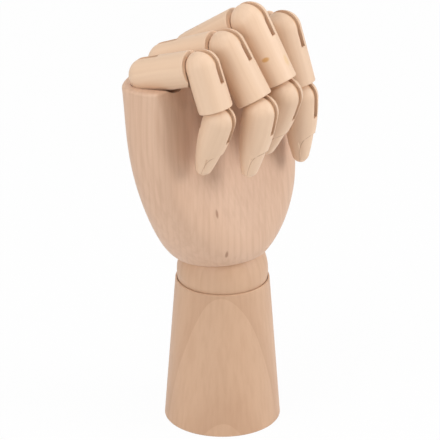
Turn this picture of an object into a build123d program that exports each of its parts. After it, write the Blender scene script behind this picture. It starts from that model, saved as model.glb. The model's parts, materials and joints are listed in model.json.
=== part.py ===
from build123d import *
import os
from math import atan2, cos, degrees, pi, radians, sin

# A wooden hand mannequin on a turned stand: a right hand, loosely closed.
# Millimetres, +Z up. The origin is the middle of the stand's underside.
# The palm looks towards -Y, the thumb is on the +X side.

# Stand
stand_base_diameter = 48.0
stand_top_diameter = 38.8
stand_height = 62.5
stand_base_round = 0.4
stand_top_round = 0.5

# Wrist: a ball held between two cups by a spring on the axis
ball_diameter = 37.6
ball_rise = 3.2
ball_clearance = 0.25
ball_bore = 10.0
ball_bore_flare = 2.5

# Spring, its cross pin under the stand and its eye inside the palm
spring_diameter = 7.4
spring_wire = 1.1
spring_bore = 9.6
foot_bore = 16.0
foot_bore_depth = 24.0
cross_pin_diameter = 3.0
cross_pin_height = 16.0
cross_pin_bite = 5.0
eye_wire = 1.8
eye_diameter = 6.4
eye_shank = 12.0
eye_height = 33.0
hook_gap = 0.2
hook_wire_share = 0.9

# Palm block, in its own frame with the ball's centre as zero
palm_lean = 5.0
palm_base_height = 9.0
palm_base_radius = 19.5
palm_top_drop = 2.0
palm_edge_round = 1.2

# Knuckle row
knuckle_forward = 9.4
knuckle_height = 94.3
finger_pitch = 18.0
pinky_offset = -32.0
channel_margin = 5.0

# One hinge, the same in every joint. The shares are of the head's radius.
head_clearance = 0.25
collar = 0.35
end_share = 0.72
end_round = 0.45
chamfer_share = 0.70
chamfer_slope = 45.0
closing_slope = 8.0
trough_clearance = 0.3
notch_angle = 40.0
notch_near_share = 0.10
notch_far_share = 1.15
slot_width = 2.6
slot_reach = 0.9
tongue_play = 0.25
tongue_drop = 1.2
tongue_shank_share = 0.62
mortise_depth = 5.0
pin_diameter = 1.8
pin_running_play = 0.05
pin_seat_play = 0.02
pin_blind = 1.8
pin_recess = 0.6

# Nails
nail_width = 12.0
nail_depth = 0.9
nail_end_depth = 0.3
nail_root = 0.74

# Palm sections from the wrist to the knuckles: height, reach to the little
# finger's side, reach to the thumb's side, back, front, slope of the front, fullness
palm_sections = [
    (20.0, 29.0, 33.5, 20.7, 21.8, 0.10, 2.5),
    (40.0, 38.0, 39.7, 21.0, 17.9, 0.20, 3.2),
    (66.0, 43.0, 35.0, 20.7, 14.0, 0.20, 4.0),
]
palm_top_section = (43.3, 32.5, 21.0, 9.0, 0.10, 4.0)
section_points = 28

# Fingers: lengths of the three pieces, radii of the three heads, and the bends
# of the three joints in the closed hand
fingers = {
    "pinky": ((27.5, 23.0, 26.1), (7.3, 7.0, 6.7), (75.9, 90.1, 37.0)),
    "ring": ((30.3, 29.0, 30.1), (7.9, 7.6, 7.2), (72.4, 80.6, 43.0)),
    "middle": ((32.0, 33.0, 29.0), (8.2, 7.9, 7.5), (60.4, 95.6, 47.0)),
    "index": ((32.4, 29.2, 28.9), (7.9, 7.6, 7.2), (77.1, 91.0, 16.4)),
}
# Where each knuckle stands off the straight row: forward and up
knuckle_shifts = {
    "pinky": (1.2, 1.3),
    "ring": (0.0, 0.8),
    "middle": (1.6, -0.8),
    "index": (2.2, -1.3),
}
finger_pieces = ("proximal", "middle", "distal")
tip_straight = 0.06
tip_radius = 3.5

# Thumb
thumb_root = (38.0, 4.0, 18.5)
thumb_spread = 85.0
thumb_turn = 90.0
thumb_lengths = (25.0, 23.0, 24.5)
thumb_radii = (8.2, 7.8, 7.3)
thumb_bends = (68.0, 6.0, 8.0)
thumb_pieces = ("base", "proximal", "distal")
thumb_close = 5.0
thumb_fold = 52.0
thumb_tip_fold = 60.0
thumb_channel_play = 1.6

ball_radius = ball_diameter / 2
cup_radius = ball_radius + ball_clearance
wrist_height = stand_height + ball_rise
far = 4 * knuckle_height

parts = {}


def turned(*edges):
    """A solid of revolution about Z from a closed outline of radius and height."""
    return revolve(make_face(Plane.XZ * Curve(edges)), Axis.Z)


def blank(head, end, length):
    """Turned blank of a finger piece: a dome round the hinge, a taper and a flat end."""
    dome = CenterArc((0, 0), head, -90, 90)
    side = Line(dome @ 1, (end, length - end_round))
    rim = TangentArc(side @ 1, (end - end_round, length), tangent=side % 1)
    top = Line(rim @ 1, (0, length))
    return turned(dome, side, rim, top, Line(top @ 1, dome @ 0))


def tip_curve(head, length):
    """The long arc of a finger tip's side: its radius and the angle where the round end starts."""
    rise = length - tip_radius - tip_straight * length
    sweep = (head**2 + rise**2 - tip_radius**2) / (2 * (head - tip_radius))
    return sweep, degrees(atan2(rise, sweep - head))


def tip_blank(head, length):
    """Turned blank of a finger tip: a dome, a short straight part and a rounded end."""
    straight = tip_straight * length
    sweep, turn = tip_curve(head, length)
    dome = CenterArc((0, 0), head, -90, 90)
    side = Line(dome @ 1, (head, straight))
    belly = CenterArc((head - sweep, straight), sweep, 0, turn)
    end = CenterArc((0, length - tip_radius), tip_radius, turn, 90 - turn)
    return turned(dome, side, belly, end, Line(end @ 1, dome @ 0))


def head_cuts(head):
    """What a head loses: the sawn slot, the pin's hole and the notch on its inner side."""
    slot_top = head + slot_reach
    slot = Box(slot_width, 4 * head, 2 * slot_top, align=(Align.CENTER, Align.CENTER, Align.MAX))
    hole = Pos(pin_blind - head, 0, 0) * Rot(0, 90, 0) * Cylinder(
        pin_diameter / 2 + pin_seat_play,
        3 * head,
        align=(Align.CENTER, Align.CENTER, Align.MIN),
    )
    return [Pos(0, 0, slot_top) * slot, hole, head_notch(head)]


def head_notch(head):
    """The notch under a head: it lets the end before the joint in when the finger closes."""
    apex = Vector(-head * cos(radians(notch_angle)), head * sin(radians(notch_angle)))
    near = apex + (Vector(-head, notch_near_share * head) - apex) * 1.5
    away = apex + (Vector(-head, notch_far_share * head) - apex) * 1.5
    outline = make_face(Polyline(apex, near, away, close=True))
    return extrude(Plane.YZ * outline, 2 * head, both=True)


def hinge_pin(head):
    """The steel pin, driven in from the thumb's side and blind on the other."""
    length = 2 * head - pin_blind - pin_recess
    return Pos(pin_blind - head, 0, 0) * Rot(0, 90, 0) * Cylinder(
        pin_diameter / 2, length, align=(Align.CENTER, Align.CENTER, Align.MIN)
    )


def tongue(head):
    """The flat tongue: a disc round the pin and a shank that is glued in below it."""
    disc = head - tongue_drop
    shank = 2 * disc * tongue_shank_share
    depth = head + head_clearance + mortise_depth
    outline = Circle(disc) + Pos(0, -depth / 2) * Rectangle(shank, depth)
    outline -= Circle(pin_diameter / 2 + pin_running_play)
    thickness = slot_width - 2 * tongue_play
    return extrude(Plane.YZ * outline, thickness / 2, both=True)


def mortise(head):
    """The blind hole for a tongue's shank."""
    disc = head - tongue_drop
    shank = 2 * disc * tongue_shank_share
    depth = head + head_clearance + mortise_depth
    thickness = slot_width - 2 * tongue_play
    return Box(thickness, shank, depth, align=(Align.CENTER, Align.CENTER, Align.MAX))


def cup_cuts(head):
    """The end before a joint: flat, with a shallow cup and a trough for the closed finger."""
    drop = end_share * head
    size = 6 * head
    chamfer = Pos(0, -chamfer_share * head, -drop) * Rot(chamfer_slope, 0, 0) * Box(
        size, size, size, align=(Align.CENTER, Align.MAX, Align.MIN)
    )
    trough = Rot(90 + closing_slope, 0, 0) * Cylinder(
        head + trough_clearance, size, align=(Align.CENTER, Align.CENTER, Align.MIN)
    )
    return [chamfer, trough, Sphere(head + head_clearance), mortise(head)]


def finger_tip(head, length):
    """A distal piece with its carved nail: a shallow step with a round root that fades to the tip."""
    outline = Box(nail_width, head, length, align=(Align.CENTER, Align.MIN, Align.MIN))
    outline += Rot(-90, 0, 0) * Cylinder(
        nail_width / 2, head, align=(Align.CENTER, Align.CENTER, Align.MIN)
    )
    bed = tip_blank(head - nail_depth, length - nail_end_depth)
    nail = Pos(0, tip_radius / 2, nail_root * length) * outline - bed
    solid = tip_blank(head, length) - nail
    for tool in head_cuts(head):
        solid -= tool
    return solid


def pose(bend):
    """A bend of a joint: positive closes the finger."""
    return Rot(bend, 0, 0)


def add_chain(name, pieces, root, lengths, radii, bends, turn=0.0):
    """Place one finger: its pieces, its pins, and the tongue that each joint turns on."""
    frame = root
    for index, piece in enumerate(pieces):
        head = radii[index]
        length = lengths[index]
        node = f"{name}_{piece}"
        parts[f"{node}_tongue"] = frame * tongue(head)
        frame = frame * pose(bends[index])
        if index + 1 < len(pieces):
            next_head = radii[index + 1]
            twist = Rot(0, 0, turn if index == 0 else 0.0)
            step = Pos(0, 0, length) * twist
            solid = blank(head, next_head + collar, length - end_share * next_head)
            for tool in head_cuts(head):
                solid -= tool
            for tool in cup_cuts(next_head):
                solid -= step * tool
        else:
            solid = finger_tip(head, length)
            step = Pos(0, 0, length)
        parts[node] = frame * solid
        parts[f"{node}_pin"] = frame * hinge_pin(head)
        frame = frame * step


# Stand: a cone with rounded edges, a cup for the ball, and a bore for the spring
base_radius = stand_base_diameter / 2
top_radius = stand_top_diameter / 2
stand = turned(
    Line((0, 0), (base_radius, 0)),
    Line((base_radius, 0), (top_radius, stand_height)),
    Line((top_radius, stand_height), (0, stand_height)),
    Line((0, stand_height), (0, 0)),
)
stand_edges = stand.edges().filter_by(GeomType.CIRCLE).sort_by(Axis.Z)
stand = fillet(stand_edges[0], stand_base_round)
stand_edges = stand.edges().filter_by(GeomType.CIRCLE).sort_by(Axis.Z)
stand = fillet(stand_edges[-1], stand_top_round)
stand -= Pos(0, 0, wrist_height) * Sphere(cup_radius)
stand -= Cylinder(spring_bore / 2, wrist_height, align=(Align.CENTER, Align.CENTER, Align.MIN))
stand -= Cylinder(foot_bore / 2, foot_bore_depth, align=(Align.CENTER, Align.CENTER, Align.MIN))
cross_pin_length = foot_bore + 2 * cross_pin_bite
cross_pin = Pos(0, 0, cross_pin_height) * Rot(0, 90, 0) * Cylinder(
    cross_pin_diameter / 2, cross_pin_length
)
stand -= Pos(0, 0, cross_pin_height) * Rot(0, 90, 0) * Cylinder(
    cross_pin_diameter / 2 + pin_seat_play, cross_pin_length
)
parts["stand"] = stand
parts["stand_cross_pin"] = cross_pin

# Wrist ball, bored through and flared so that the spring can bend
ball = Sphere(ball_radius) - Cylinder(ball_bore / 2, 2 * ball_diameter)
flare_height = ball_radius
for side in (0, 180):
    ball -= Rot(side, 0, 0) * Pos(0, 0, flare_height / 3) * Cone(
        ball_bore / 2,
        ball_bore / 2 + ball_bore_flare,
        flare_height,
        align=(Align.CENTER, Align.CENTER, Align.MIN),
    )
parts["wrist_ball"] = Pos(0, 0, wrist_height) * ball

# Palm block: rounded sections from the wrist ring to the knuckles
hand = Location((0, 0, wrist_height), (-palm_lean, 0, 0))


def palm_section(height, little, thumb, back, front, slope, fullness):
    """One closed section of the palm block at a height above the ball's centre."""
    points = []
    for index in range(section_points):
        angle = 2 * pi * index / section_points
        c = cos(angle)
        s = sin(angle)
        across = abs(c) ** (2 / fullness) * (thumb if c > 0 else -little)
        depth = back if s > 0 else -(front + slope * across)
        points.append((across, abs(s) ** (2 / fullness) * depth))
    return make_face(Plane.XY.offset(height) * Spline(*points, periodic=True))


palm_top = knuckle_height - palm_top_drop
palm_faces = [
    palm_section(
        palm_base_height,
        palm_base_radius,
        palm_base_radius,
        palm_base_radius,
        palm_base_radius,
        0.0,
        2.0,
    )
]
for row in palm_sections:
    palm_faces.append(palm_section(*row))
palm_faces.append(palm_section(palm_top, *palm_top_section))
palm = loft(palm_faces)
palm = fillet(palm.edges().group_by(Axis.Z)[-1], palm_edge_round)
palm -= Sphere(cup_radius)
bore_top = eye_height + eye_diameter / 2
palm -= Cylinder(spring_bore / 2, bore_top, align=(Align.CENTER, Align.CENTER, Align.MIN))

# Finger channels: a cup for each head and a round trough for the closed finger
knuckles = {}
for number, name in enumerate(fingers):
    lengths, radii, bends = fingers[name]
    forward, up = knuckle_shifts[name]
    across = pinky_offset + number * finger_pitch
    place = Pos(across, knuckle_forward - forward, knuckle_height + up)
    reach = radii[0] + head_clearance
    widest = max(radii[0], radii[1] + collar) + trough_clearance
    trough = pose(bends[0] + channel_margin) * Cylinder(
        widest, far, align=(Align.CENTER, Align.CENTER, Align.MIN)
    )
    palm -= place * Sphere(reach)
    palm -= place * trough
    palm -= place * mortise(radii[0])
    knuckles[name] = place

# Thumb seat: a cup low on the palm's side and a trough that lets it lie along the palm
thumb_place = Pos(*thumb_root) * Rot(0, 0, -90) * Rot(-thumb_spread, 0, 0)
thumb_reach = thumb_radii[0] + head_clearance
palm -= thumb_place * Sphere(thumb_reach)
seat_radius = thumb_radii[0] + thumb_channel_play
seat = Cylinder(seat_radius, far, align=(Align.CENTER, Align.CENTER, Align.MIN))
closed = thumb_place * pose(thumb_bends[0] + thumb_close)
for bend in (0.0, thumb_bends[0] / 2, thumb_bends[0] + thumb_close):
    palm -= thumb_place * pose(bend) * seat
fold_joint = closed * Pos(0, 0, thumb_lengths[0]) * Rot(0, 0, thumb_turn)
fan = [(0, 0), (0, far)]
for share in (1 / 2, 1):
    fold = radians(share * thumb_fold)
    fan.append((-far * sin(fold), far * cos(fold)))
pocket = extrude(Plane.YZ * make_face(Polyline(*fan, close=True)), seat_radius, both=True)
palm -= fold_joint * pocket
palm -= fold_joint * pose(thumb_fold) * seat
tip_joint = fold_joint * pose(thumb_fold) * Pos(0, 0, thumb_lengths[1])
palm -= tip_joint * pose(thumb_tip_fold) * seat
palm -= fold_joint * Sphere(seat_radius)
palm -= thumb_place * mortise(thumb_radii[0])

# Screw eye in the end of the palm's bore
eye_ring = Rot(90, 0, 0) * Torus(eye_diameter / 2 - eye_wire / 2, eye_wire / 2)
eye = Pos(0, 0, eye_height) * (
    eye_ring
    + Pos(0, 0, eye_diameter / 2 - eye_wire)
    * Cylinder(eye_wire / 2, eye_shank + eye_wire, align=(Align.CENTER, Align.CENTER, Align.MIN))
)
palm -= Pos(0, 0, bore_top) * Cylinder(
    eye_wire / 2 + pin_seat_play,
    eye_shank,
    align=(Align.CENTER, Align.CENTER, Align.MIN),
)
parts["palm"] = hand * palm
parts["palm_screw_eye"] = hand * eye

# Fingers and thumb
for name in fingers:
    lengths, radii, bends = fingers[name]
    add_chain(name, finger_pieces, hand * knuckles[name], lengths, radii, bends)
add_chain(
    "thumb", thumb_pieces, hand * thumb_place, thumb_lengths, thumb_radii, thumb_bends, thumb_turn
)

# Spring: a close coil with a hook at each end, round the cross pin and through the eye
coil_radius = spring_diameter / 2 - spring_wire / 2
hook_wire = hook_wire_share * spring_wire
hook_inside = coil_radius - hook_wire / 2
low_hook = cross_pin_height - cross_pin_diameter / 2 - hook_gap + hook_inside
low_coil = cross_pin_height + cross_pin_diameter / 2 + hook_gap
high_hook = eye_height - eye_diameter / 2 + eye_wire + hook_gap - hook_inside
high_coil = eye_height - eye_diameter / 2 - hook_gap


def hook(height, coil_end):
    """Half a loop in the YZ plane with two short legs up to the coil's end."""
    loop = Rot(0, 90, 0) * Torus(coil_radius, hook_wire / 2)
    loop -= Box(far, far, far, align=(Align.CENTER, Align.CENTER, Align.MIN))
    leg = Cylinder(
        hook_wire / 2,
        coil_end - height + spring_wire / 2,
        align=(Align.CENTER, Align.CENTER, Align.MIN),
    )
    for side in (-coil_radius, coil_radius):
        loop += Pos(0, side, 0) * leg
    return Pos(0, 0, height) * loop


def coil(length):
    """A close-wound stretch of the spring, upwards from zero."""
    align = (Align.CENTER, Align.CENTER, Align.MIN)
    outside = Cylinder(spring_diameter / 2, length, align=align)
    return outside - Cylinder(spring_diameter / 2 - spring_wire, length, align=align)


lower = Pos(0, 0, low_coil) * coil(wrist_height - low_coil + spring_diameter)
upper = Pos(0, 0, -spring_diameter) * coil(high_coil + spring_diameter)
bend = Location((0, 0, wrist_height), (-palm_lean / 2, 0, 0))
lower -= bend * Box(far, far, far, align=(Align.CENTER, Align.CENTER, Align.MIN))
lower += hook(low_hook, low_coil)
upper = hand * (upper + Rot(180, 0, 0) * hook(-high_hook, -high_coil))
upper -= bend * Box(far, far, far, align=(Align.CENTER, Align.CENTER, Align.MAX))
parts["wrist_spring"] = lower + upper

os.makedirs("parts", exist_ok=True)
for node, solid in parts.items():
    export_step(solid, f"parts/{node}.step")
print(len(parts), "nodes")
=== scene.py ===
# %% [markdown]
# # A wooden hand mannequin
# The CAD model is the skeleton of this scene: every wooden piece, pin and tongue is already
# cut to shape and stands in the right place. In Blender we give the pieces their wood, wind
# a real coil for the spring, and set up a plain studio that looks at the hand from the same
# side as the photograph.

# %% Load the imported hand
import bpy
import json
import math
import numpy as np
from mathutils import Matrix, Vector

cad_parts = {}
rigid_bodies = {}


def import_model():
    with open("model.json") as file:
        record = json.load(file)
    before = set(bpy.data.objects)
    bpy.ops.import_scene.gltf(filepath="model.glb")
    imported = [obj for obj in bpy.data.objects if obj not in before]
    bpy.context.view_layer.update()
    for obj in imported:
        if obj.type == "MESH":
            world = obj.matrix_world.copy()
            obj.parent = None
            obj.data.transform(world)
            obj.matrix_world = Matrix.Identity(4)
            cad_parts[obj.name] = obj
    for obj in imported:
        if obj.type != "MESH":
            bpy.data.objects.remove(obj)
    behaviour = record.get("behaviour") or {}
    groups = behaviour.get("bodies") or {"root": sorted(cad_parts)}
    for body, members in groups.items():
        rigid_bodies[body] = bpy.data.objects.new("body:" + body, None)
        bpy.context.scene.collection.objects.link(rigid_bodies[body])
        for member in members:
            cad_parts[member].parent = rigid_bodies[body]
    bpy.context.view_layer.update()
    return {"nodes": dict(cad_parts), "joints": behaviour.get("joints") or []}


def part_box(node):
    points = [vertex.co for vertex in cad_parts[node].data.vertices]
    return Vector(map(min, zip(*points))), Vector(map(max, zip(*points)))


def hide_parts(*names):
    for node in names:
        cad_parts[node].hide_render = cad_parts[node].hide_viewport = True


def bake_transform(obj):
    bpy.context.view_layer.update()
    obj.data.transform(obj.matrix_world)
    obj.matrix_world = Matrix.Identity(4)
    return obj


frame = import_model()
scene = bpy.context.scene

# %% [markdown]
# ## Where each piece lies
# Wood has a direction, so each finger piece has to know which way it runs. The joints of the
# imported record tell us: a piece starts at its own hinge and runs to the next one. A finger tip
# has no next hinge, so there we look for the point of its mesh that is farthest away.

# %% Hinges and meshes
hinge_at = {}
hinge_axis = {}
for joint in frame["joints"]:
    hinge_at[joint["child"]] = np.array(joint["pos_m"], float)
    hinge_axis[joint["child"]] = np.array(joint["axis"], float)
print("hinges of", len(hinge_at), "pieces")


def mesh_points(node):
    """All vertices of a CAD node as one array, in metres."""
    mesh = frame["nodes"][node].data
    points = np.zeros(len(mesh.vertices) * 3, np.float32)
    mesh.vertices.foreach_get("co", points)
    return points.reshape(-1, 3).astype(float)


def next_hinge(node):
    """The hinge that a piece carries at its far end, or None at a tip."""
    for joint in frame["joints"]:
        if joint["parent"] == node:
            return hinge_at[joint["child"]]
    return None


# %% The axis of every finger piece
wrist_nodes = ("palm", "wrist_ball", "wrist_spring")
finger_nodes = sorted(
    n for n in frame["nodes"] if n in hinge_at and n not in wrist_nodes)
piece_axis = {}
piece_length = {}
for node in finger_nodes:
    start = hinge_at[node]
    end = next_hinge(node)
    if end is None:
        points = mesh_points(node)
        end = points[np.argmax(np.linalg.norm(points - start, axis=1))]
    piece_length[node] = np.linalg.norm(end - start)
    piece_axis[node] = (start, (end - start) / piece_length[node])
print("axes for", len(piece_axis), "finger pieces")

# %% [markdown]
# ## The camera
# The photograph was taken with a long lens from the little finger's side and from above, so
# the lines of the stand hardly converge. We aim the camera by working backwards: the middle of
# the foot has to land on one known spot of the picture, and the scale there is known too.

# %% Where the camera stands
picture_size = 440
azimuth = math.radians(-60.0)
elevation = math.radians(24.5)
pixels_per_metre = 2396.0
foot_pixel = (222.4, 411.0)
lens = 396.0
sensor = 36.0

toward_camera = Vector((
    math.sin(azimuth) * math.cos(elevation),
    -math.cos(azimuth) * math.cos(elevation),
    math.sin(elevation),
))
picture_right = Vector((math.cos(azimuth), math.sin(azimuth), 0.0))
picture_up = toward_camera.cross(picture_right)
distance = lens / sensor * picture_size / pixels_per_metre
foot_right = (foot_pixel[0] - picture_size / 2) / pixels_per_metre
foot_up = (picture_size / 2 - foot_pixel[1]) / pixels_per_metre
aim = -foot_right * picture_right - foot_up * picture_up
print("camera stands", round(distance, 3), "m away")

# %% The camera itself
nearest_seen = 0.05
farthest_seen = 50.0
camera_data = bpy.data.cameras.new("studio_camera")
camera_data.lens = lens
camera_data.sensor_width = sensor
camera_data.clip_start = nearest_seen
camera_data.clip_end = farthest_seen
camera = bpy.data.objects.new("studio_camera", camera_data)
camera.rotation_mode = "QUATERNION"
camera.location = aim + toward_camera * distance
camera.rotation_quaternion = (-toward_camera).to_track_quat("-Z", "Y")
scene.collection.objects.link(camera)
scene.camera = camera
print("camera at", [round(c, 3) for c in camera.location])

# %% [markdown]
# ## Finding a spot of the photograph on the wood
# The palm has two dark flecks and one finger has a small orange knot beside a yellow patch. To
# put them in the right place we send a ray from the camera through a spot of the picture and
# take the point where it meets the piece. The result is a point on the wood, so the mark stays
# there from every side.

# %% From a picture spot to a point on a piece
upper_fleck_pixel = (217.0, 214.0)
lower_fleck_pixel = (226.7, 255.0)
knot_pixel = (265.5, 60.0)
yellow_patch_pixel = (286.5, 60.0)


def seen_at(node, pixel):
    """The point of a piece that the camera sees at a picture spot: a ray through the lens."""
    right = (pixel[0] - picture_size / 2) / pixels_per_metre
    above = (picture_size / 2 - pixel[1]) / pixels_per_metre
    target = aim + right * picture_right + above * picture_up
    way = (target - camera.location).normalized()
    hit, point = frame["nodes"][node].ray_cast(camera.location, way)[:2]
    print(node, "at", pixel, "hit" if hit else "missed", [round(c, 4) for c in point])
    return point


bpy.context.view_layer.update()
upper_fleck = seen_at("palm", upper_fleck_pixel)
lower_fleck = seen_at("palm", lower_fleck_pixel)
knot = seen_at("middle_middle", knot_pixel)
yellow_patch = seen_at("middle_middle", yellow_patch_pixel)

# %% [markdown]
# ## Wood
# The hand is plain pale hardwood, sanded and not varnished. A flat picture of planks would break
# at every edge, so this wood is solid: the tree's year rings are nested tubes, and each piece is
# cut out of them. The photograph shows very quiet wood, so each layer is kept weak. We start
# with small helpers, because every node tree below is put together from the same few steps.

# %% Helpers for node trees
def linear(colour):
    """A colour as written for the screen, 0 to 255, in the linear numbers of a shader."""
    c = np.array(colour, float) / 255.0
    c = np.where(c <= 0.04045, c / 12.92, ((c + 0.055) / 1.055) ** 2.4)
    return (float(c[0]), float(c[1]), float(c[2]), 1.0)


def new_node(tree, kind, **values):
    """One node; a word that is a property sets it, any other sets the socket of that name."""
    node = tree.nodes.new(kind)
    for key, value in values.items():
        if hasattr(node, key):
            setattr(node, key, value)
        else:
            node.inputs[key.replace("_", " ").title()].default_value = value
    return node


print("a screen grey of 128 is", round(linear((128, 128, 128))[0], 3), "in a shader")


# %% Masks and sums
mix_mask, mix_first, mix_second, mix_result = 0, 6, 7, 2


def ramp(tree, source, low, high, low_value=0.0, high_value=1.0):
    """Maps a socket's range low..high to low_value..high_value, with smooth ends."""
    node = new_node(tree, "ShaderNodeMapRange", interpolation_type="SMOOTHSTEP", from_min=low,
                    from_max=high, to_min=low_value, to_max=high_value)
    tree.links.new(source, node.inputs["Value"])
    return node.outputs["Result"]


def tint(tree, colour, strength, onto):
    """Mixes a colour by a mask over another colour, which is a socket or four numbers.
    The Mix node has sockets for each kind of data; the ones for colours go by number."""
    node = new_node(tree, "ShaderNodeMix", data_type="RGBA")
    tree.links.new(strength, node.inputs[mix_mask])
    if isinstance(onto, tuple):
        node.inputs[mix_first].default_value = onto
    else:
        tree.links.new(onto, node.inputs[mix_first])
    node.inputs[mix_second].default_value = colour
    return node.outputs[mix_result]


def calculated(tree, operation, *values):
    """One Math node; each value is a number or a socket."""
    node = new_node(tree, "ShaderNodeMath", operation=operation)
    for socket, value in zip(node.inputs, values):
        if isinstance(value, float):
            socket.default_value = value
        else:
            tree.links.new(value, socket)
    return node.outputs["Value"]


# %% [markdown]
# ## The space of the grain
# The Object coordinates of a piece are its place in the hand. The node tree turns them until Z
# runs along the grain and the tree's middle, the pith, lies on the Z axis. Everything else is
# then a simple pattern in that space, whichever way the piece lies. A trunk is never quite
# straight, so the patterns get this space with a slow sideways push.

# %% Turning a piece into its tree
trunk_wave_scale = 30.0
trunk_wave_push = 0.0016


def grain_turn(axis, about):
    """The rotation that brings the grain onto Z and then turns the piece about it."""
    level = Vector(axis).rotation_difference(Vector((0, 0, 1))).to_matrix()
    return Matrix.Rotation(about, 3, "Z") @ level


def mapped(tree, source, location=(0, 0, 0), rotation=(0, 0, 0), scale=(1, 1, 1)):
    """A point turned, stretched and moved by a Mapping node."""
    node = new_node(tree, "ShaderNodeMapping", rotation=rotation, scale=scale)
    node.inputs["Location"].default_value = location
    tree.links.new(source, node.inputs["Vector"])
    return node.outputs["Vector"]


def noise(tree, space, scale, detail):
    """A cloudy pattern; in a stretched space it becomes streaks."""
    node = new_node(tree, "ShaderNodeTexNoise", scale=scale, detail=detail)
    tree.links.new(space, node.inputs["Vector"])
    return node


def wavering(tree, space):
    """The space of a trunk that isn't straight: point + push * slow noise, across the grain."""
    wave = noise(tree, space, trunk_wave_scale, 1.0)
    bent = new_node(tree, "ShaderNodeVectorMath", operation="MULTIPLY_ADD")
    bent.inputs[1].default_value = (trunk_wave_push, trunk_wave_push, 0.0)
    tree.links.new(wave.outputs["Color"], bent.inputs[0])
    tree.links.new(space, bent.inputs[2])
    return bent.outputs["Vector"]


# %% [markdown]
# ## Year rings, streaks and stains
# A year ring is light where it grew in spring and ends in a thin darker line. The Wave node
# can draw that as nested tubes, with a saw tooth for its profile. Streaks are a noise drawn out
# along the grain. Flecks and knots are egg-shaped marks at one point of the wood.

# %% Colours of the wood
wave_ring = 2 * math.pi / 20.0
streak_squeeze = 0.03
broad_scale, broad_range = 70.0, (0.3, 0.7)
fine_scale, fine_range = 560.0, (0.35, 0.7)
late_wood_range = (0.55, 1.0)
stain_edge = (0.35, 1.0)


def year_rings(tree, space, gap):
    """Nested tubes round Z, one every gap metres: light early wood that darkens to a line.
    The Wave node makes one ring per 2 pi / 20 of its scaled space."""
    wave = new_node(tree, "ShaderNodeTexWave", wave_type="RINGS", rings_direction="Z",
                    wave_profile="SAW", scale=wave_ring / gap, distortion=0.5,
                    detail=2.0, detail_scale=0.4)
    tree.links.new(space, wave.inputs["Vector"])
    return wave.outputs["Fac"]


def wood_colour(tree, bent, pale, dark, gap, ring, streak):
    """Pale wood under three masks of dark: broad patches, fine streaks and year rings."""
    drawn = mapped(tree, bent, scale=(1.0, 1.0, streak_squeeze))
    broad = noise(tree, drawn, broad_scale, 1.0).outputs["Fac"]
    fine = noise(tree, drawn, fine_scale, 4.0).outputs["Fac"]
    late = year_rings(tree, bent, gap)
    patches = ramp(tree, broad, *broad_range, 0.0, streak / 2)
    streaks = ramp(tree, fine, *fine_range, 0.0, streak)
    rings = ramp(tree, late, *late_wood_range, 0.0, ring)
    colour = tint(tree, linear(dark), patches, linear(pale))
    colour = tint(tree, linear(dark), streaks, colour)
    return tint(tree, linear(dark), rings, colour)


def stain(tree, space, middle, across, along, strength):
    """An egg-shaped mark: the distance from its middle, in its own radii, faded to 0 at 1."""
    away = new_node(tree, "ShaderNodeVectorMath", operation="SUBTRACT")
    away.inputs[1].default_value = middle
    tree.links.new(space, away.inputs[0])
    shape = mapped(tree, away.outputs["Vector"], scale=(1 / across, 1 / across, 1 / along))
    radii = new_node(tree, "ShaderNodeVectorMath", operation="LENGTH")
    tree.links.new(shape, radii.inputs[0])
    return ramp(tree, radii.outputs["Value"], *stain_edge, strength, 0.0)


# %% [markdown]
# ## The line round a nail
# Each finger tip has a nail, carved as a shallow step. In the photograph its outline is a fine
# dark line, the shade inside the cut. The step is already in the CAD model but too shallow to
# cast that shade, so the line is painted shade, drawn by the material because a line this fine
# would be lost in a mesh. The same line also dents the bump a little.

# %% The outline of a nail
# Colour and strength of the painted shade in each nail's carved groove.
nail_groove_shade_tone = (164, 120, 90)
nail_half_angle = math.radians(72.0)
nail_share = 0.46
nail_squareness = 2.6
nail_line_edge = (0.02, 0.075)
nail_groove_shade_strength = 0.6
nail_line_depth = 4.0


def nail_line(tree, source, start, axis, hinge, length):
    """A carved U on the back of a finger tip. With Z along the tip and Y to its back, a point
    has an angle round Z and a distance from the end. As shares of the nail's half width and
    height they lie on the line where share_a ** 2.6 + share_b ** 2.6 = 1."""
    back = Vector(axis).cross(Vector(hinge))
    turn = Matrix((Vector(hinge), back, Vector(axis)))
    own = mapped(tree, source, -(turn @ Vector(start)), turn.to_euler("XYZ"))
    split = new_node(tree, "ShaderNodeSeparateXYZ")
    tree.links.new(own, split.inputs["Vector"])
    side = calculated(tree, "ABSOLUTE", split.outputs["X"])
    angle = calculated(tree, "ARCTAN2", side, split.outputs["Y"])
    share_a = calculated(tree, "DIVIDE", angle, nail_half_angle)
    from_end = calculated(tree, "SUBTRACT", float(length), split.outputs["Z"])
    share_b = calculated(tree, "DIVIDE", from_end, float(nail_share * length))
    power_a = calculated(tree, "POWER", share_a, nail_squareness)
    power_b = calculated(tree, "POWER", share_b, nail_squareness)
    off_one = calculated(tree, "SUBTRACT", calculated(tree, "ADD", power_a, power_b), 1.0)
    return ramp(tree, calculated(tree, "ABSOLUTE", off_one), *nail_line_edge, 1.0, 0.0)


# %% [markdown]
# ## One piece of wood
# Sanded wood isn't smooth like plastic: its pores are fine long dents, and they make the sheen
# uneven. A noise drawn out along the grain drives both the bump and the roughness. The function
# `wood` then joins all the layers to one material, and `dress` puts it on a piece.

# %% Sanded surface
pore_scale, pore_squeeze = 2400.0, 0.08
pore_range = (0.3, 0.7)
pore_depth, pore_strength = 0.0002, 0.10
sanded_roughness = (0.46, 0.58)
sheen_weight, sheen_roughness = 0.10, 0.4


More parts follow.
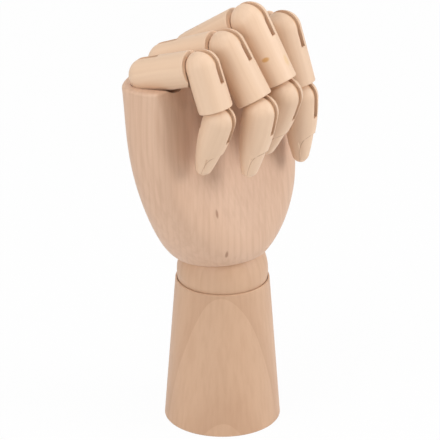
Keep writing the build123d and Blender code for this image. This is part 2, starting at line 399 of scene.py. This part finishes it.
def sand(tree, shader, pores, height):
    """Pores as bump and as uneven roughness, and the soft sheen of bare wood."""
    bump = new_node(tree, "ShaderNodeBump", strength=pore_strength, distance=pore_depth)
    tree.links.new(height, bump.inputs["Height"])
    tree.links.new(bump.outputs["Normal"], shader.inputs["Normal"])
    roughness = ramp(tree, pores, *pore_range, *sanded_roughness)
    tree.links.new(roughness, shader.inputs["Roughness"])
    shader.inputs["Sheen Weight"].default_value = sheen_weight
    shader.inputs["Sheen Roughness"].default_value = sheen_roughness


# %% The wood itself
def wood(name, pale, dark, axis, centre, pith, gap, ring, streak, about=0.0, marks=(), nail=None):
    """Solid wood. pith is how far the tree's middle lies from the piece, across the grain; gap is
    the width of a year; ring and streak say how strong these layers are. nail is a finger tip's
    hinge axis and length, where the piece has one."""
    material = bpy.data.materials.new(name)
    material.use_nodes = True
    tree = material.node_tree
    shader = tree.nodes["Principled BSDF"]
    turn = grain_turn(axis, about)
    shift = Vector((pith[0], pith[1], 0.0)) - turn @ Vector(centre)
    plain = new_node(tree, "ShaderNodeTexCoord").outputs["Object"]
    space = mapped(tree, plain, shift, turn.to_euler("XYZ"))
    colour = wood_colour(tree, wavering(tree, space), pale, dark, gap, ring, streak)
    for place, across, along, tone, strength in marks:
        mask = stain(tree, space, turn @ Vector(place) + shift, across, along, strength)
        colour = tint(tree, linear(tone), mask, colour)
    drawn = mapped(tree, space, scale=(1.0, 1.0, pore_squeeze))
    pores = noise(tree, drawn, pore_scale, 3.0).outputs["Fac"]
    height = pores
    if nail:
        line = nail_line(tree, plain, centre, axis, *nail)
        # Painted shade: the nail's outline darkens the colour, standing in for the shade in the
        # groove.
        mask = calculated(tree, "MULTIPLY", line, nail_groove_shade_strength)
        colour = tint(tree, linear(nail_groove_shade_tone), mask, colour)
        cut = calculated(tree, "MULTIPLY", line, nail_line_depth)
        height = calculated(tree, "SUBTRACT", pores, cut)
    tree.links.new(colour, shader.inputs["Base Color"])
    sand(tree, shader, pores, height)
    return material


def dress(node, material):
    """Gives a CAD node one material in all its slots."""
    mesh = frame["nodes"][node].data
    mesh.materials.clear()
    mesh.materials.append(material)


# %% [markdown]
# ## The stand and the ball
# On the turned stand the photograph shows one wide arch. It appears where a cone cuts a year
# ring whose middle lies behind it and leans forward a little, so that is how the stand's grain
# is set: one wide ring, seen from the camera's side. The ball is turned from the same wood.

# %% Wood for the stand and the ball
up = Vector((0.0, 0.0, 1.0))
ball_middle = (0, 0, 0.066)
facing = math.atan2(toward_camera.y, toward_camera.x)
stand_pale = (208, 170, 139)
stand_dark = (181, 138, 107)
stand_lean = 0.12
stand_grain = up + stand_lean * Vector((math.cos(facing), math.sin(facing), 0.0))
stand_wood = wood("stand_wood", stand_pale, stand_dark, stand_grain, centre=(0, 0, 0),
                  pith=(0.052, 0.0), gap=0.0108, ring=0.30, streak=0.20, about=-facing)
dress("stand", stand_wood)
ball_wood = wood("ball_wood", stand_pale, stand_dark, up, centre=ball_middle,
                 pith=(0.03, 0.02), gap=0.006, ring=0.15, streak=0.16)
dress("wrist_ball", ball_wood)
print("stand grain leans", round(math.degrees(stand_grain.angle(up)), 1), "degrees")

# %% [markdown]
# ## The palm
# The palm is sawn so that its rings stand on edge and show as upright lines. With the pith far
# away, the rings are nearly flat sheets, and turning the piece about its grain sets them on edge.

# %% Wood for the palm
palm_pale = (216, 180, 153)
palm_dark = (190, 150, 122)
fleck_tone = (150, 106, 80)
fleck_radii = (0.0009, 0.0036)
fleck_strength = 0.75
palm_marks = [
    (upper_fleck, *fleck_radii, fleck_tone, fleck_strength),
    (lower_fleck, *fleck_radii, fleck_tone, fleck_strength),
]
palm_wood = wood("palm_wood", palm_pale, palm_dark, up, centre=ball_middle,
                 pith=(0.25, 0.0), gap=0.0024, ring=0.16, streak=0.30, about=-azimuth,
                 marks=palm_marks)
dress("palm", palm_wood)
print("palm with", len(palm_marks), "flecks")

# %% [markdown]
# ## The fingers
# Every finger piece is sawn from another stick, so its shade and its rings differ a little. One
# material for all would look like a single block, so each gets its own, with a fixed seed for
# the chance values: every run gives the same hand.

# %% Wood for the fingers
finger_pale = (229, 197, 168)
finger_dark = (205, 166, 133)
knot_tone = (208, 150, 70)
yellow_tone = (226, 186, 128)
knot_marks = [
    (knot, 0.0022, 0.0013, knot_tone, 0.8),
    (yellow_patch, 0.0020, 0.0030, yellow_tone, 0.5),
]
shade_spread = 3
stick_pith_away = (0.03, 0.06)
stick_pith_aside = (-0.02, 0.02)
chance = np.random.default_rng(7)
for node in finger_nodes:
    start, axis = piece_axis[node]
    shade = chance.uniform(-shade_spread, shade_spread)
    pale = [c + shade for c in finger_pale]
    dark = [c + shade for c in finger_dark]
    pith = (chance.uniform(*stick_pith_away), chance.uniform(*stick_pith_aside))
    about = chance.uniform(0, 2 * math.pi)
    marks = knot_marks if node == "middle_middle" else ()
    nail = (hinge_axis[node], piece_length[node]) if node.endswith("_distal") else None
    stick = wood(node + "_wood", pale, dark, axis, centre=start, pith=pith, gap=0.004,
                 ring=0.10, streak=0.14, about=about, marks=marks, nail=nail)
    dress(node, stick)
print("dressed", len(finger_nodes), "finger pieces")

# %% [markdown]
# ## The tongues
# A flat tongue joins each pair of pieces and shows in the sawn slots. It is sawn, not sanded.
# Its colour is set darker and warmer than the fingers' wood, as painted shade for the deep slots
# it sits in. Its grain follows the piece that turns on it.

# %% Wood for the tongues
# Painted shade: these tones are darker than the finger wood to stand in for the shade in the
# slots.
tongue_pale_with_shade = (216, 176, 138)
tongue_dark_with_shade = (190, 144, 104)
tongue_nodes = [n for n in frame["nodes"] if n.endswith("_tongue")]
for node in tongue_nodes:
    start, axis = piece_axis[node.replace("_tongue", "")]
    shaded_tongue_wood = wood(node + "_wood", tongue_pale_with_shade, tongue_dark_with_shade, axis, centre=start,
                pith=(0.02, 0.01), gap=0.003, ring=0.2, streak=0.3)
    dress(node, shaded_tongue_wood)
print("dressed", len(tongue_nodes), "tongues")

# %% [markdown]
# ## Steel
# The hinge pins, the cross pin, the screw eye and the spring are plain drawn wire. Steel from
# the drawing plate is never evenly bright, so a fine noise drives its tone and its roughness.

# %% Steel
steel_bright = (205, 204, 200)
steel_dull = (172, 172, 170)
steel_scale = 1800.0
steel_range = (0.3, 0.7)
steel_roughness = (0.26, 0.44)
steel = bpy.data.materials.new("drawn_steel")
steel.use_nodes = True
tree = steel.node_tree
shader = tree.nodes["Principled BSDF"]
shader.inputs["Metallic"].default_value = 1.0
where = new_node(tree, "ShaderNodeTexCoord")
grit = noise(tree, where.outputs["Object"], steel_scale, 4.0).outputs["Fac"]
tone = tint(tree, linear(steel_bright), grit, linear(steel_dull))
tree.links.new(tone, shader.inputs["Base Color"])
tree.links.new(ramp(tree, grit, *steel_range, *steel_roughness), shader.inputs["Roughness"])
steel_nodes = [n for n in frame["nodes"]
               if n.endswith("_pin") or n in ("palm_screw_eye", "wrist_spring")]
for node in steel_nodes:
    dress(node, steel)
print("steel on", len(steel_nodes), "nodes")

# %% [markdown]
# ## The spring inside the wrist
# A tension spring holds palm, ball and stand together. Only its lower hook shows, from below,
# but a coil is a good exercise: it is a round wire carried along a path. The path has three
# parts, each a short formula: a half circle round the cross pin, the helix, which leans with the
# hand above the ball's middle, and a half circle through the screw eye. The straight legs
# between them come by themselves when the points are joined. Each point of the path also knows
# which way is outwards, and that is all the frame the wire needs.

# %% Measures of the spring
spring_wire = 0.0011
spring_turns = 52
points_per_turn = 28
hook_points = 18
pin_clearance = 0.0005
eye_clearance = 0.0012
lean_ease = 0.004
lean = math.radians(5.0)
wrist = hinge_at["palm"]
stand_up = np.array((0.0, 0.0, 1.0))
hand_up = np.array((0.0, math.sin(lean), math.cos(lean)))
side_x = np.array((1.0, 0.0, 0.0))
spring_low, spring_high = [np.array(c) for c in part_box("wrist_spring")]
pin_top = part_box("stand_cross_pin")[1][2]
coil_radius = (spring_high[0] - spring_low[0] - spring_wire) / 2
low_loop = spring_low[2] + spring_wire / 2 + coil_radius - wrist[2]
low_coil = pin_top + pin_clearance - wrist[2]
hook_top = np.max((mesh_points("wrist_spring") - wrist) @ hand_up)
high_loop = hook_top - spring_wire / 2 - coil_radius
high_coil = high_loop - eye_clearance
print("coil from", round(low_coil * 1000, 1), "to", round(high_coil * 1000, 1),
      "mm of the ball's middle")


# %% The path of the spring's wire
def in_wrist(x, y, along, way):
    """Points from coordinates across and along one of the wrist's two axes: middle of the ball
    + x * side_x + y * side_y + along * way."""
    side_y = np.cross(way, side_x)
    return wrist + np.outer(x, side_x) + np.outer(y, side_y) + np.outer(along, way)


def half_loop(centre_height, start, stop, way):
    """A half circle in the plane across the pin: y = R cos(a), height = centre + R sin(a).
    Returns the points and their outward ways."""
    a = np.linspace(start, stop, hook_points)
    height = centre_height + coil_radius * np.sin(a)
    points = in_wrist(0 * a, coil_radius * np.cos(a), height, way)
    return points, in_wrist(0 * a, np.cos(a), np.sin(a), way) - wrist


path_low, out_low = half_loop(low_loop, math.pi, 2 * math.pi, stand_up)
path_high, out_high = half_loop(high_loop, 0.0, math.pi, hand_up)
turn = np.linspace(0.0, 1.0, spring_turns * points_per_turn)
angle = math.pi / 2 + 2 * math.pi * spring_turns * turn
along = low_coil + (high_coil - low_coil) * turn
coil_x, coil_y = np.cos(angle) * coil_radius, np.sin(angle) * coil_radius
share = np.clip((along + lean_ease) / (2 * lean_ease), 0.0, 1.0)[:, None]
helix_low = in_wrist(coil_x, coil_y, along, stand_up)
helix_high = in_wrist(coil_x, coil_y, along, hand_up)
path_coil = helix_low * (1 - share) + helix_high * share
out_coil = in_wrist(np.cos(angle), np.sin(angle), 0 * angle, stand_up) - wrist
path = np.concatenate([path_low, path_coil, path_high])
outward = np.concatenate([out_low, out_coil, out_high])
print("path of", len(path), "points")


# %% A round wire along the path
def circles_along(path, outward, radius, sides=10):
    """Circles across the path: point = path + r (cos a * out + sin a * across)."""
    tangent = np.gradient(path, axis=0)
    tangent /= np.linalg.norm(tangent, axis=1)[:, None]
    across = np.cross(tangent, outward)
    across /= np.linalg.norm(across, axis=1)[:, None]
    out = np.cross(across, tangent)
    a = np.linspace(0, 2 * math.pi, sides, endpoint=False)[None, :, None]
    return path[:, None] + radius * (np.cos(a) * out[:, None] + np.sin(a) * across[:, None])


def wire_mesh(name, circles):
    """The skin through a run of circles: quads from each circle to the next, closed ends."""
    count, sides = circles.shape[:2]
    index = np.arange(count * sides).reshape(count, sides)
    after = np.roll(index, -1, axis=1)
    corners = [index[:-1], after[:-1], after[1:], index[1:]]
    quads = np.stack(corners, axis=-1).reshape(-1, 4)
    ends = [index[0][::-1].tolist(), index[-1].tolist()]
    mesh = bpy.data.meshes.new(name)
    mesh.from_pydata(circles.reshape(-1, 3).tolist(), [], quads.tolist() + ends)
    mesh.polygons.foreach_set("use_smooth", np.ones(len(mesh.polygons), bool))
    mesh.materials.append(steel)
    return mesh


circles = circles_along(path, outward, spring_wire / 2)
print("wire of", circles.shape[0], "circles")

# %% [markdown]
# A real spring gives way when the wrist turns, and a mesh on one body can't. The wrist has three
# joints, so the wire is cut into three stretches, one for each of them: the lowest at the swivel,
# the next at the ball, the highest at the palm. Each becomes an object of its own. The table
# names the two bodies and the start and end of a blend for each stretch, but nothing here blends
# them or hangs them on a body. The lower cut lies two wires below the ball, so that the lowest
# stretch stays clear of it.

# %% Three stretches of wire
ball_low, ball_high = [np.array(c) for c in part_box("wrist_ball")]
bend_reach = (ball_high[0] - ball_low[0]) / 2 + 2 * spring_wire
heights = np.concatenate([
    np.full(len(path_low), along[0]), along, np.full(len(path_high), along[-1])])
lower_cut, upper_cut = np.searchsorted(heights, (-bend_reach, 0.0))
run_low = circles[:lower_cut + 1]
run_middle = circles[lower_cut:upper_cut + 1]
run_high = circles[upper_cut:]
lowest = tuple(wrist + low_coil * stand_up)
below = tuple(wrist - bend_reach * stand_up)
middle = tuple(wrist)
above = tuple(wrist + bend_reach * hand_up)
stretches = [
    ("wrist_coil_low", run_low, "stand", "wrist_spring", lowest, below),
    ("wrist_coil_middle", run_middle, "wrist_spring", "wrist_ball", below, middle),
    ("wrist_coil_high", run_high, "wrist_ball", "palm", middle, above),
]
for name, run, before, after, bend_start, bend_end in stretches:
    spring = bpy.data.objects.new(name, wire_mesh(name, run))
    scene.collection.objects.link(spring)
    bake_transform(spring)
    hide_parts("wrist_spring")
    print(name, "has", len(run), "circles of wire")

# %% [markdown]
# ## The studio
# The photograph has a pure white surrounding and soft light from the sides and from above. A
# white room would fill every gap with light, so here only the camera and the reflections see it
# white: the Light Path node tells what kind of ray arrives. For all other rays the room is dim,
# and three large lamps do most of the lighting. That keeps the deep, warm shadows between the
# fingers, which are lit mainly by light that has bounced off wood.

# %% What sees the white surrounding
white = (1.0, 1.0, 1.0, 1.0)
room_light = 0.34


def sees_white(tree):
    """1 for camera, glossy and see-through rays, 0 for rays that only carry light about."""
    ray = new_node(tree, "ShaderNodeLightPath").outputs
    seen = calculated(tree, "MAXIMUM", ray["Is Camera Ray"], ray["Is Glossy Ray"])
    return calculated(tree, "MAXIMUM", seen, ray["Is Transmission Ray"])


world = bpy.data.worlds.new("studio_world")
scene.world = world
world.use_nodes = True
sky = world.node_tree.nodes["Background"]
sky.inputs["Color"].default_value = white
strength = ramp(world.node_tree, sees_white(world.node_tree), 0.0, 1.0, room_light, 1.0)
world.node_tree.links.new(strength, sky.inputs["Strength"])
print("room light", room_light, "and white for the camera")

# %% [markdown]
# ## The floor
# The floor is plain white paper. For the camera most of its colour is a steady white glow, and
# the rest is real shaded paper, so that the soft shadow round the foot stays.

# %% Paper
white_share = 0.96
paper_grey = (0.86, 0.86, 0.86, 1.0)
paper_roughness = 0.9
paper_specular = 0.1
paper = bpy.data.materials.new("studio_paper")
paper.use_nodes = True
tree = paper.node_tree
shader = tree.nodes["Principled BSDF"]
shader.inputs["Base Color"].default_value = paper_grey
shader.inputs["Roughness"].default_value = paper_roughness
shader.inputs["Specular IOR Level"].default_value = paper_specular
glow = new_node(tree, "ShaderNodeEmission")
glow.inputs["Color"].default_value = white
both = new_node(tree, "ShaderNodeMixShader")
tree.links.new(calculated(tree, "MULTIPLY", sees_white(tree), white_share), both.inputs["Fac"])
tree.links.new(shader.outputs["BSDF"], both.inputs[1])
tree.links.new(glow.outputs["Emission"], both.inputs[2])
tree.links.new(both.outputs["Shader"], tree.nodes["Material Output"].inputs["Surface"])
print("paper glows by", white_share, "for the camera")

# %% Floor
floor_reach = 6.0
floor_lines = 9


def flat_grid(reach, lines):
    """A flat square grid: x and y run from -reach to reach, z is zero."""
    line = np.linspace(-reach, reach, lines)
    x, y = np.meshgrid(line, line, indexing="ij")
    points = np.stack([x, y, np.zeros_like(x)], axis=-1).reshape(-1, 3)
    index = np.arange(lines * lines).reshape(lines, lines)
    corners = [index[:-1, :-1], index[1:, :-1], index[1:, 1:], index[:-1, 1:]]
    return points, np.stack(corners, axis=-1).reshape(-1, 4)


points, quads = flat_grid(floor_reach, floor_lines)
floor_mesh = bpy.data.meshes.new("studio_floor")
floor_mesh.from_pydata(points.tolist(), [], quads.tolist())
floor_mesh.materials.append(paper)
floor = bpy.data.objects.new("studio_floor", floor_mesh)
scene.collection.objects.link(floor)
print("floor of", len(quads), "squares")

# %% [markdown]
# ## Three soft lamps
# Large lamps give soft edges to the shadows. Their places are written as seen in the picture, to
# the right, upwards and towards the camera, because that is how one judges light on a photograph.

# %% Lamps
hand_middle = Vector((0, 0, 0.11))
level_way = Vector((toward_camera.x, toward_camera.y, 0)).normalized()


def soft_lamp(name, right, above, towards, size, watts):
    """A square lamp placed in picture terms: metres to the right, up, and towards the camera."""
    data = bpy.data.lights.new(name, "AREA")
    data.shape = "SQUARE"
    data.size = size
    data.energy = watts
    lamp = bpy.data.objects.new(name, data)
    lamp.location = hand_middle + right * picture_right + above * up + towards * level_way
    lamp.rotation_mode = "QUATERNION"
    lamp.rotation_quaternion = (hand_middle - lamp.location).to_track_quat("-Z", "Y")
    scene.collection.objects.link(lamp)
    print(name, "at", [round(c, 2) for c in lamp.location], "with", watts, "W")


soft_lamp("lamp_above", right=-0.2, above=1.3, towards=0.2, size=1.2, watts=8.5)
soft_lamp("lamp_left", right=-1.0, above=0.6, towards=1.2, size=0.9, watts=10.0)
soft_lamp("lamp_right", right=1.4, above=0.6, towards=0.2, size=0.9, watts=13.0)
scene.view_settings.view_transform = "Standard"
